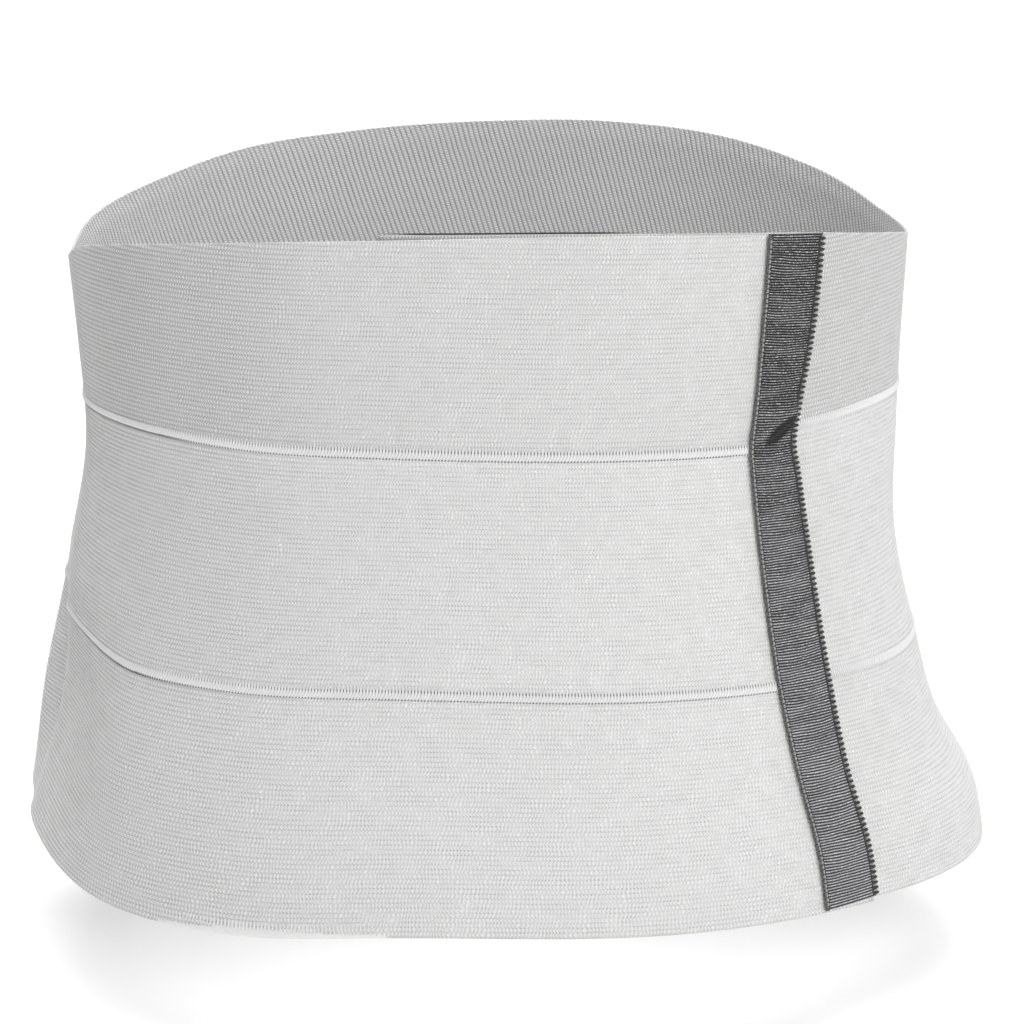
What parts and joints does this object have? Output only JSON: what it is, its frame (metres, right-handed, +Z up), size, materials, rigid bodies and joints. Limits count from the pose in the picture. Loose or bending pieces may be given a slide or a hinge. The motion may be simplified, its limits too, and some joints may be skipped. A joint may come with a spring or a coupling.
{
  "type": "abdominal binder",
  "caption": "Elastic abdominal binder in its worn form: a knitted panel band that wraps waist and hips and laps over itself, closed by a hook strip behind a taped end.",
  "frame": {"origin": "middle of the body hollow at the waist, the narrowest level", "axes": "+Z up along the wearer's trunk, the front towards -Y, the taped end to the +X side of the front"},
  "size_m": [0.3435, 0.2379, 0.2445],
  "materials": {
    "elastic_knit": "white ribbed elastic knit, matte",
    "seam_thread": "white cover-stitch thread, soft sheen",
    "grosgrain_tape": "dark grey grosgrain tape, matte",
    "hook_tape": "white woven hook strip"
  },
  "bodies": {
    "root": {"panel_upper": "elastic_knit", "panel_middle": "elastic_knit", "panel_lower": "elastic_knit", "seam_upper": "seam_thread", "seam_lower": "seam_thread", "edge_tape": "grosgrain_tape", "hook_strip": "hook_tape"}
  },
  "joints": []
}
